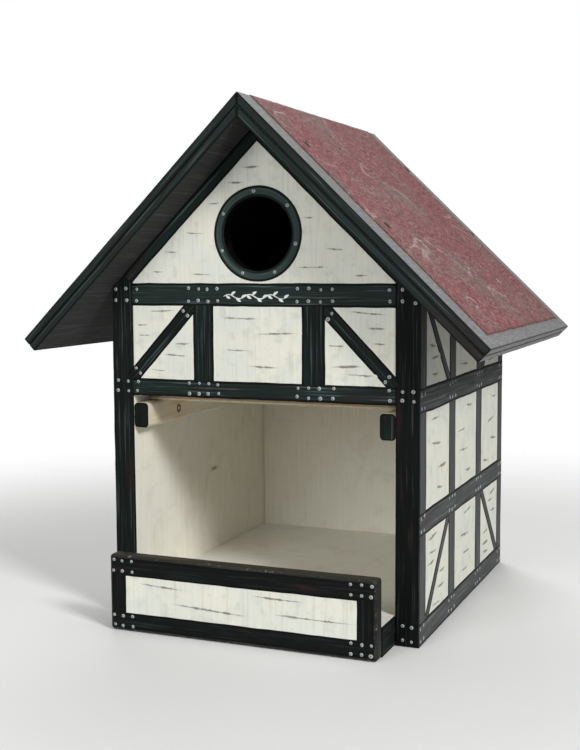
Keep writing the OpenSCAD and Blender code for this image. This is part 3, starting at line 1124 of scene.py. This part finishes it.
def dash_tree():
    """A thin bowed strip for a dash on every point; its paint finds the dash by lane and run."""
    inputs = [("Bow", "Float"), ("Paint", "Material")]
    group, tree, given = geometry_tree("bark_dashes", inputs)
    size = {"Size X": 2.0, "Size Y": 2.0, "Vertices X": 13, "Vertices Y": 3}
    grid = tree.node("GeometryNodeMeshGrid", None, size)
    x, y, _ = tree.parts(tree.node("GeometryNodeInputPosition"))
    marked = store(tree, store(tree, grid, "run", x), "lane", y)
    narrow = 1.0 - 0.6 * (x * x)
    bent = tree.xyz(x, y * narrow + given["Bow"] * (x * x), 0.0)
    shaped = tree.node("GeometryNodeSetPosition", None, {"Geometry": marked, "Position": bent})
    scale = tree.xyz(0.5 * stored(tree, "reach"), 0.5 * stored(tree, "thick"), 1.0)
    return finish_tree(group, tree, given["Geometry"], shaped, facing(tree), scale, given["Paint"])


def grow(name, group, spots, values):
    """Runs a tree on points, each with its own numbers and directions, and keeps a plain mesh."""
    mesh = bpy.data.meshes.new(name)
    mesh.from_pydata([spot["at"] for spot in spots], [], [])
    for key, value in spots[0].items():
        if key == "at":
            continue
        if isinstance(value, float):
            set_number(mesh, key, [spot[key] for spot in spots])
        else:
            layer = mesh.attributes.new(key, "FLOAT_VECTOR", "POINT")
            layer.data.foreach_set("vector", np.array([spot[key] for spot in spots], np.float32).ravel())
    piece = new_object(name, mesh)
    modifier = piece.modifiers.new("grow", "NODES")
    modifier.node_group = group
    for item in group.interface.items_tree:
        if item.item_type == "SOCKET" and item.in_out == "INPUT" and item.name in values:
            modifier[item.identifier] = values[item.name]
    apply_modifiers(piece)
    for vertex in piece.data.vertices:
        vertex.co = waver(vertex.co)
    piece.data.shade_smooth()
    return piece


def dab(side, a, b, lift):
    """One dab on the paint of a side."""
    return {"at": side.at(a, b, lift), "facing": side.out, "along": side.across}


def cluster(side, columns, rows, lift, draw, jitter=0.5 * MM):
    """Dabs at each column and row."""
    def near(place):
        return place + draw.uniform(-jitter, jitter)

    return [dab(side, near(a), near(b), lift) for a in columns for b in rows]


# Dabs: how far they stray from their row and column, and lie in from a rail's edges
LOOSE = 0.7 * MM
NEAT = 0.4 * MM
DAB_INSET = 4.2 * MM
DAB_R = 1.35 * MM


def front_dabs(draw):
    """Nail dabs on the rails, posts, braces and ring."""
    spots = []
    upper_rows = (250.2 * MM, 259.2 * MM)
    lower_rows = (179.4 * MM, 186.6 * MM)
    foot_rows = (4.5 * MM, 15 * MM)
    post_columns = (-103, -112, -121, 103, 112, 121)
    left_columns = (-57.5, -49.3, -41.5, -33.5)
    right_columns = (31.5, 40.8, 49.5, 59.5)
    columns = [x * MM for x in post_columns + left_columns + right_columns]
    for rows in (upper_rows, lower_rows):
        spots += cluster(FRONT_SIDE, columns, rows, FILM, draw, LOOSE)
    foot_columns = [x * MM for x in (-112.5, 112.5, -120, 120)]
    spots += cluster(FRONT_SIDE, foot_columns, foot_rows, 0.0, draw)
    ends = [(-62.7, 242.2), (-59, 238.6), (-104.6, 197.2), (-100.8, 193.4),
            (58.6, 241.6), (55.6, 237.4), (102.4, 196.6), (99.4, 192.8)]
    for x, z in ends:
        spots.append(dab(FRONT_SIDE, x * MM, z * MM, BRACE_LIFT))
    middle = HOLE_R + RING_W / 2
    for angle in (40, 95, 151, 203, 247, 296, 346):
        turn = math.radians(angle)
        spots.append(dab(FRONT_SIDE, middle * math.cos(turn), HOLE_Z + middle * math.sin(turn), RING_LIFT))
    return spots


def side_dabs(side, draw):
    """Nail dabs where the posts of a side wall cross its rails."""
    spots = []
    for index, (a0, a1) in enumerate(SIDE_POSTS):
        middle = (a0 + a1) / 2
        outer = index in (0, len(SIDE_POSTS) - 1)
        offsets = (-4 * MM, 4 * MM) if outer else (-8 * MM, 0, 8 * MM)
        for b0, b1 in SIDE_RAILS:
            rows = (b0 + DAB_INSET, b1 - DAB_INSET)
            spots += cluster(side, [middle + offset for offset in offsets], rows, FILM, draw, LOOSE)
    return spots


def back_dabs(draw):
    """Nail dabs where the posts of the back cross its rails."""
    spots = []
    posts = [(-HALF, -INNER)] + INNER_POSTS + [(INNER, HALF)]
    for a0, a1 in posts:
        middle = (a0 + a1) / 2
        columns = (middle - 4.5 * MM, middle + 4.5 * MM)
        for b0, b1 in SIDE_RAILS + [UPPER_RAIL]:
            spots += cluster(BACK_SIDE, columns, (b0 + DAB_INSET, b1 - DAB_INSET), FILM, draw, 0.6 * MM)
    return spots


def tray_dabs(draw):
    """Six nail dabs at each corner of the tray's frame."""
    spots = []
    for sign in (-1, 1):
        columns = [sign * x * MM for x in (87.5, 96, 103)]
        for rows in ((46.5 * MM, 54.5 * MM), (4.3 * MM, 12 * MM)):
            spots += cluster(TRAY_SIDE, columns, rows, FILM, draw, NEAT)
    return spots


def make_dabs():
    """All the nail dabs as one piece."""
    draw = random.Random(7)
    spots = front_dabs(draw) + side_dabs(RIGHT_SIDE, draw) + side_dabs(LEFT_SIDE, draw)
    spots += back_dabs(draw) + tray_dabs(draw)
    values = {"Radius": DAB_R, "Height": DAB_HEIGHT, "Spread": 0.14, "Seed": 11, "Paint": NAIL_PAINT}
    piece = grow("nail_dabs", dab_tree(), spots, values)
    return declare(piece, "timber_paint")


DASH_LIFT = 0.09 * MM


def dash(side, a, b, reach, thick, tilt):
    """One dash, tilted from level by an angle in degrees."""
    turn = math.radians(tilt)
    along = side.across * math.cos(turn) + Vector((0, 0, math.sin(turn)))
    at = side.at(a, b, DASH_LIFT)
    return {"at": at, "facing": side.out, "along": along, "reach": reach, "thick": thick}


def bay_dashes(side, a0, a1, b0, b1, count, draw, brace=None):
    """Dashes spread over a bay, clear of its brace, which runs up (1) or down (-1) across it."""
    spots = []
    margin = 3 * MM
    clear_of_brace = 9 * MM
    least_room = 7 * MM
    for i in range(count):
        b = b0 + (b1 - b0) * (i + 0.5 + draw.uniform(-0.2, 0.2)) / count
        left, right = a0 + margin, a1 - margin
        if brace:
            share = (b - b0) / (b1 - b0)
            at = a0 + (a1 - a0) * (share if brace > 0 else 1 - share)
            if at - a0 > a1 - at:
                right = at - clear_of_brace
            else:
                left = at + clear_of_brace
        room = right - left
        if room < least_room:
            continue
        reach = min(room * 0.85, draw.uniform(22, 36) * MM)
        a = draw.uniform(left + reach / 2, right - reach / 2)
        spots.append(dash(side, a, b, reach, draw.uniform(4.6, 6.6) * MM, draw.uniform(-7, 7)))
    return spots


def front_dashes(draw):
    """Dashes of the front, each given: across, up and length in millimetres."""
    gable = [(-5, 349, 13), (-18, 338, 13), (-36, 323, 9), (-52, 301, 13), (-72, 287, 11), (-84, 272, 9),
             (-47, 270, 16), (40, 311, 8), (61, 288, 13), (44, 275, 23), (81, 269, 10)]
    middle = [(-15, 237, 26), (14, 226, 32), (-17, 213, 18), (4, 201, 23)]
    left = [(-81, 242, 20), (-98.5, 231, 9), (-97, 223, 9), (-64, 217, 12), (-70, 208, 18), (-85, 196, 12)]
    right = [(86, 242, 25), (93, 231, 13), (95, 220, 9), (62, 218, 12), (70, 203, 22), (80, 197, 20)]
    faded_ends = 1.35
    spots = []
    for x, z, reach in gable + middle + left + right:
        thick = draw.uniform(3.0, 4.6) * MM
        spots.append(dash(FRONT_SIDE, x * MM, z * MM, reach * faded_ends * MM, thick, draw.uniform(-4, 4)))
    return spots


def side_dashes(side, draw):
    """Dashes in every bay of a side wall."""
    spots = []
    columns = [(SIDE_POSTS[i][1], SIDE_POSTS[i + 1][0]) for i in range(3)]
    tops = [rail[0] for rail in SIDE_RAILS[1:]] + [EAVE]
    braces = {(0, 2): -1, (2, 2): 1, (0, 0): 1, (2, 0): -1}
    for i, (a0, a1) in enumerate(columns):
        for j, rail in enumerate(SIDE_RAILS):
            brace = braces.get((i, j))
            spots += bay_dashes(side, a0, a1, rail[1], tops[j], 6 if brace else 4, draw, brace)
    return spots


def back_dashes(draw):
    """Dashes in every bay of the back wall, and five on each side of its gable."""
    spots = []
    left_post, right_post = INNER_POSTS
    columns = [(-INNER, left_post[0]), (left_post[1], right_post[0]), (right_post[1], INNER)]
    rows = [(SIDE_RAILS[0][1], SIDE_RAILS[1][0]), (SIDE_RAILS[1][1], SIDE_RAILS[2][0]),
            (SIDE_RAILS[2][1], UPPER_RAIL[0])]
    braces = {(0, 0): 1, (2, 0): -1, (0, 2): 1, (2, 2): -1}
    for i, (a0, a1) in enumerate(columns):
        for j, (b0, b1) in enumerate(rows):
            spots += bay_dashes(BACK_SIDE, a0, a1, b0, b1, 4, draw, braces.get((i, j)))
    gable = ((24, 330), (38, 312), (55, 292), (30, 285), (75, 273))
    for sign in (-1, 1):
        for x, z in gable:
            reach = draw.uniform(10, 17) * MM
            spots.append(dash(BACK_SIDE, sign * x * MM, z * MM, reach, 3.4 * MM, 0.0))
    return spots


def tray_dashes(draw):
    """Dashes of the tray: across, up, length in millimetres, and how thick against the others."""
    placed = [(-63, 37, 44, 1.0), (-23, 23.5, 76, 1.5), (32, 37.5, 48, 1.1), (59, 25.5, 72, 1.3)]
    spots = []
    for x, z, reach, weight in placed:
        thick = draw.uniform(3.0, 4.2) * weight * MM
        spots.append(dash(TRAY_SIDE, x * MM, z * MM, reach * MM, thick, draw.uniform(-3, 1)))
    return spots


def make_dashes():
    """All the brush dashes as one piece."""
    draw = random.Random(19)
    spots = front_dashes(draw) + side_dashes(RIGHT_SIDE, draw) + side_dashes(LEFT_SIDE, draw)
    spots += back_dashes(draw) + tray_dashes(draw)
    piece = grow("bark_dashes", dash_tree(), spots, {"Bow": 0.16, "Paint": BARK_PAINT})
    return declare(piece, "panel_paint")


# ---------------------------------------------------------------- boards

UP = (0, 0, 1)
ACROSS = (1, 0, 0)
DEEP = (0, 1, 0)

HAND = {-1: "left", 1: "right"}

# How far a face leans to an end or side of its board before it counts as part of it:
# with the whole rounded arris, with most of it, or with half of it
WHOLE_ARRIS = 0.25
MOST_ARRIS = 0.3
HALF_ARRIS = 0.6


def make_side_wall(sign):
    """A side wall: white outside, dark at both ends and underneath, bare birch inside."""
    outline = [(sign * INNER, 0), (sign * HALF, 0), (sign * HALF, EAVE), (sign * INNER, wall_high.z)]
    foot = 1.2 * MM
    inner_skin = INNER + 0.3 * MM

    def pick(normal, centre):
        if abs(normal.y) > WHOLE_ARRIS or centre.z < foot:
            return 1 if abs(centre.x) > inner_skin or abs(normal.y) > HALF_ARRIS else 2
        return 0 if normal.x * sign > MOST_ARRIS else 2

    name = HAND[sign]
    finishes = [(PLASTER, UP), (TIMBER, UP), (INNER_BIRCH, UP)]
    # Painted shade: the right wall's dark front end takes a darker tone than the left's, for the shade that
    # falls on the right of the front.
    piece = board(name + "_wall", outline, FRONT, BACK, finishes, pick, tone=0.08 if sign > 0 else 0.24)
    nodes = [name + "_side_wall"]
    if sign > 0:
        nodes.append("screw_fillers")
    return declare(piece, "wall_paint", *nodes)


def gable_outline(low):
    """The outline of a board between the side walls, from a height up to the ridge."""
    return [(-INNER, low), (INNER, low), (INNER, wall_high.z), (0, APEX), (-INNER, wall_high.z)]


def make_gable_panel():
    """The front panel with its round entrance, dark on its lower edge."""
    hole_rim = HOLE_R + 0.4 * MM
    dark_foot = FRONT + 3 * MM

    def pick(normal, centre):
        inside = math.hypot(centre.x, centre.z - HOLE_Z) < hole_rim
        if inside or (normal.z < -WHOLE_ARRIS and centre.y < dark_foot):
            return 1
        return 0 if normal.y < -MOST_ARRIS else 2

    finishes = [(PLASTER, UP), (HOLE_PAINT, ACROSS), (INNER_BIRCH, UP)]
    outline = gable_outline(RAIL_FOOT)
    piece = board("gable_front", outline, FRONT, panel_high.y, finishes, pick, hole=((0, HOLE_Z), HOLE_R))
    return declare(piece, "panel_paint", "gable_panel")


def make_back_wall():
    """The back wall: white outside, bare birch inside."""
    def pick(normal, centre):
        return 0 if normal.y > MOST_ARRIS else 1

    finishes = [(PLASTER, UP), (INNER_BIRCH, UP)]
    piece = board("back_board", gable_outline(0), back_low.y, BACK, finishes, pick)
    return declare(piece, "wall_paint", "back_wall")


def box_outline(low, high):
    """The outline of a box."""
    return [(low.x, low.z), (high.x, low.z), (high.x, high.z), (low.x, high.z)]


def make_floor_board():
    """The floor: washed birch on top, dark on its edges in front of the house."""
    edge_x = INNER - 0.7 * MM
    edge_y = FRONT + 2 * MM
    underneath = -0.5

    def pick(normal, centre):
        outside = abs(centre.x) > edge_x and centre.y < edge_y
        if outside or normal.y < -MOST_ARRIS:
            return 1
        return 2 if normal.z < underneath else 0

    finishes = [(FLOOR_BIRCH, ACROSS), (TIMBER, DEEP), (CLEAT_BIRCH, DEEP)]
    outline = box_outline(floor_low, floor_high)
    piece = board("floor_plate", outline, floor_low.y, floor_high.y, finishes, pick, round_off=0.6 * MM)
    return declare(piece, "bare_birch", "floor_board")


def make_tray_board():
    """The tray board, dark round a white panel that runs a little under its painted frame."""
    half, low, high = TRAY_FRAME
    under = 3 * MM

    def pick(normal, centre):
        on_panel = abs(centre.x) < half + under and low - under < centre.z < high + under
        return 0 if normal.y < -HALF_ARRIS and on_panel else 1

    finishes = [(PLASTER, UP), (TRAY_PAINT, ACROSS)]
    outline = box_outline(tray_low, tray_high)
    piece = board("tray_front", outline, TRAY_FACE, tray_high.y, finishes, pick, round_off=2.6 * MM)
    return declare(piece, "timber_paint", "tray_board")


def rounded_outline(low, high, radius, steps=5):
    """A box's outline with rounded corners."""
    corners = [(high.x, high.z, 0), (low.x, high.z, 1), (low.x, low.z, 2), (high.x, low.z, 3)]
    outline = []
    for x, z, quarter in corners:
        centre_x = x - math.copysign(radius, x - (low.x + high.x) / 2)
        centre_z = z - math.copysign(radius, z - (low.z + high.z) / 2)
        for i in range(steps + 1):
            turn = math.pi / 2 * (quarter + i / steps)
            outline.append((centre_x + radius * math.cos(turn), centre_z + radius * math.sin(turn)))
    return outline


def make_cleat(sign):
    """A cleat: pale birch with rounded edges and a dark front end."""
    name = HAND[sign]
    low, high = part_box(name + "_cleat")
    dipped = 1.6 * MM

    def pick(normal, centre):
        return 1 if centre.y < low.y + dipped else 0

    finishes = [(CLEAT_BIRCH, DEEP), (TIMBER, UP)]
    outline = rounded_outline(low, high, 3 * MM)
    piece = board(name + "_cleat_batten", outline, low.y, high.y, finishes, pick, tone=0.25)
    return declare(piece, "cleat_wood", name + "_cleat")


def make_nest_floor():
    """The loose nest floor: thin ply with its veneers showing at the edge."""
    def pick(normal, centre):
        return 0 if abs(normal.z) > HALF_ARRIS else 1

    finishes = [(LOOSE_BIRCH, DEEP), (PLY_EDGE, ACROSS)]
    outline = box_outline(loose_low, loose_high)
    piece = board("nest_floor_sheet", outline, loose_low.y, loose_high.y, finishes, pick, round_off=0.5 * MM)
    return declare(piece, "nest_floor_wood", "nest_floor", body="nest_floor")


def screw_places(rows):
    """Where the roof screws come through the roof's top, as points and the way out."""
    places = []
    for side in (-1, 1):
        out = Vector((side * math.sin(PITCH), 0, math.cos(PITCH)))
        for down in (RIDGE_SCREW, INNER / math.cos(PITCH) - EDGE_SCREW):
            for y in rows:
                x, z = on_slope(down, ROOF_T, side)
                places.append((Vector((x, y, z)), out))
    return places


FRONT_SCREW_Y = (FRONT + panel_high.y) / 2
BACK_SCREW_Y = (back_low.y + BACK) / 2


def make_roof_layer(name, node, sign, out0, out1, finishes, pick, screws=()):
    """One layer of a roof slope, mitred at the ridge and square at the eave."""
    mitre = math.tan(PITCH)
    corners = [(-out0 * mitre, out0), (SLOPE_L, out0), (SLOPE_L, out1), (-out1 * mitre, out1)]
    outline = [on_slope(down, out, sign) for down, out in corners]
    ends = plank_low.y, plank_high.y
    piece = board(name, outline, *ends, finishes, pick, round_off=0.9 * MM, screws=screws, tone=0.7)
    return declare(piece, "roof_paint" if screws else "lining_paint", node)


def make_roof_slope(sign):
    """A roof board over its lining: grey on top and at the eave, dark at its ends, and mid-grey underneath as
    painted reflection of the floor in its dark paint.
    """
    name = HAND[sign]
    down_slope = Vector((sign * math.cos(PITCH), 0, -math.sin(PITCH)))
    out = Vector((sign * math.sin(PITCH), 0, math.cos(PITCH)))
    end_grain = 0.4
    finishes = [(ROOF_GREY, DEEP), (ROOF_EDGE, down_slope), (UNDERSIDE_SHEEN, DEEP)]

    def pick(normal, centre):
        if abs(normal.y) > end_grain:
            return 1
        return 2 if normal.dot(out) < -HALF_ARRIS else 0

    screws = [place for place in screw_places((FRONT_SCREW_Y, BACK_SCREW_Y)) if place[0].x * sign > 0]
    plank, lining = name + "_roof_board", name + "_roof_lining"
    make_roof_layer(name + "_roof_plank", plank, sign, LINING_T, ROOF_T, finishes, pick, screws)
    make_roof_layer(name + "_roof_underboard", lining, sign, 0, LINING_T, finishes, pick)


def make_covering():
    """One sheet of roofing paper folded over the ridge, with slight ripples and hand-cut edges."""
    step = 3.6 * MM
    half_l = SHEET_L + (ROOF_T + SHEET_T) * math.tan(PITCH)
    half_count = round(half_l / step)
    front = sheet_low.y - 3.5 * MM
    rows = round((sheet_high.y - front) / step)
    fold = 0.7 * MM
    edge_shake = 0.6 * MM
    edge_pitch = 60
    near_edge = 8
    ripple = 0.28 * MM
    ripple_pitches = (45, 130)
    bm = bmesh.new()
    rim = bm.verts.layers.float.new("rim")
    layer = bm.loops.layers.uv.new("paint")
    spread = {}

    def lay(i, j, out, loose):
        """One point of the sheet; its run is measured from the ridge, along the sheet."""
        share = i / half_count
        run = share * (SHEET_L + out * math.tan(PITCH))
        y = front + (sheet_high.y - front) * j / rows
        edge = noise.noise(Vector((y * edge_pitch, 3 * math.copysign(1, i), 0))) * edge_shake
        run += edge * abs(share) ** near_edge * math.copysign(1, i)
        end = abs(2 * j / rows - 1) ** near_edge
        y += noise.noise(Vector((run * edge_pitch, j, 5))) * edge_shake * end * (1 if j > rows / 2 else -1)
        x = run * math.cos(PITCH)
        z = APEX + out / math.cos(PITCH) - math.hypot(x * math.tan(PITCH), fold)
        place = Vector((x, y, z))
        if loose:
            calm = 1 - max(end, abs(share) ** near_edge)
            wave = noise.noise(place * ripple_pitches[0]) + 0.5 * noise.noise(place * ripple_pitches[1])
            place.z += ripple * wave * calm
        vertex = bm.verts.new(waver(place))
        border = min((1 - abs(share)) * half_l, y - front, sheet_high.y - y)
        vertex[rim] = max(0.0, 1 - border / RIM)
        spread[vertex] = (run, y)
        return vertex

    columns = range(-half_count, half_count + 1)
    top = [[lay(i, j, ROOF_T + SHEET_T, True) for j in range(rows + 1)] for i in columns]
    base = [[lay(i, j, ROOF_T + 0.02 * MM, False) for j in range(rows + 1)] for i in columns]

    def face(*corners):
        made = bm.faces.new(corners)
        for loop in made.loops:
            loop[layer].uv = spread[loop.vert]

    last = len(top) - 1
    for i in range(last):
        for j in range(rows):
            face(top[i][j], top[i][j + 1], top[i + 1][j + 1], top[i + 1][j])
            face(base[i][j], base[i + 1][j], base[i + 1][j + 1], base[i][j + 1])
        face(top[i][0], top[i + 1][0], base[i + 1][0], base[i][0])
        face(top[i][rows], base[i][rows], base[i + 1][rows], top[i + 1][rows])
    for j in range(rows):
        face(top[0][j], base[0][j], base[0][j + 1], top[0][j + 1])
        face(top[last][j], top[last][j + 1], base[last][j + 1], base[last][j])
    bmesh.ops.recalc_face_normals(bm, faces=bm.faces)
    piece = new_object("roof_sheet", bm)
    piece.data.materials.append(FELT)
    drill(piece, screw_places((FRONT_SCREW_Y,)), SCREW_HEAD_R + SHEET_PLAY, 4 * MM)
    soften(piece.data)
    return declare(piece, "roof_felt", "roof_covering")


def paint_screws():
    """The screws keep their own shape and take a dull steel."""
    for node in ("roof_screws", "left_wall_screws", "right_wall_screws", "tray_screws", "cleat_screws"):
        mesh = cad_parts[node].data
        mesh.materials.clear()
        mesh.materials.append(STEEL)


# ---------------------------------------------------------------- studio


# Each light's degrees round from the front to the right, degrees up, size in metres and watts
LIGHTS = {"key": (56, 29, 0.4, 24), "fill": (-12, 18, 1.0, 12.2), "back": (208, 38, 1.0, 16)}
LIGHT_REACH = 1.9
LIGHT_AIM = Vector((0, 0, 0.2))
AMBIENT = 0.24
FLOOR_R = 1.2
FLOOR_DROP = 0.3 * MM


def make_floor():
    """A wide pale disc under the house, a hair lower so that the two don't flicker."""
    bm = bmesh.new()
    lower = Matrix.Translation((0, 0, -FLOOR_DROP))
    bmesh.ops.create_circle(bm, cap_ends=True, segments=96, radius=FLOOR_R, matrix=lower)
    floor = new_object("studio_floor", bm)
    floor.data.materials.append(make_studio_floor("studio_floor"))


def make_light(name, azimuth, elevation, size, power):
    """A square soft light turned to the house."""
    data = bpy.data.lights.new(name, "AREA")
    data.size = size
    data.energy = power
    turn = math.radians(azimuth)
    rise = math.radians(elevation)
    way = Vector((math.sin(turn) * math.cos(rise), -math.cos(turn) * math.cos(rise), math.sin(rise)))
    lamp = bpy.data.objects.new(name, data)
    lamp.location = LIGHT_AIM + way * LIGHT_REACH
    lamp.rotation_euler = way.to_track_quat("Z", "Y").to_euler()
    bpy.context.scene.collection.objects.link(lamp)


def make_world():
    """Dim light from all round, in front of a white backdrop."""
    world = bpy.data.worlds.new("studio")
    world.use_nodes = True
    world.node_tree.nodes.clear()
    tree = Tree(world.node_tree)
    white = (1.0, 1.0, 1.0, 1.0)
    dim = tree.node("ShaderNodeBackground", None, {"Color": white, "Strength": AMBIENT})
    bright = tree.node("ShaderNodeBackground", None, {"Color": white, "Strength": 1.0})
    seen = tree.node("ShaderNodeLightPath", out="Is Camera Ray")
    both = tree.node("ShaderNodeMixShader", None, {0: seen, 1: dim, 2: bright})
    tree.node("ShaderNodeOutputWorld", None, {"Surface": both}, out=None)
    bpy.context.scene.world = world


def make_studio():
    """Backdrop, lights and floor."""
    bpy.context.scene.view_settings.view_transform = "Standard"
    make_world()
    for name, numbers in LIGHTS.items():
        make_light(name, *numbers)
    make_floor()


for side_sign in (-1, 1):
    make_side_wall(side_sign)
    make_cleat(side_sign)
    make_roof_slope(side_sign)
make_gable_panel()
make_back_wall()
make_floor_board()
make_tray_board()
make_nest_floor()
make_covering()
paint_front()
paint_side("right_timber_paint", RIGHT_SIDE)
paint_side("left_timber_paint", LEFT_SIDE)
paint_back()
paint_tray()
paint_garland()
make_dabs()
make_dashes()
paint_screws()
make_studio()
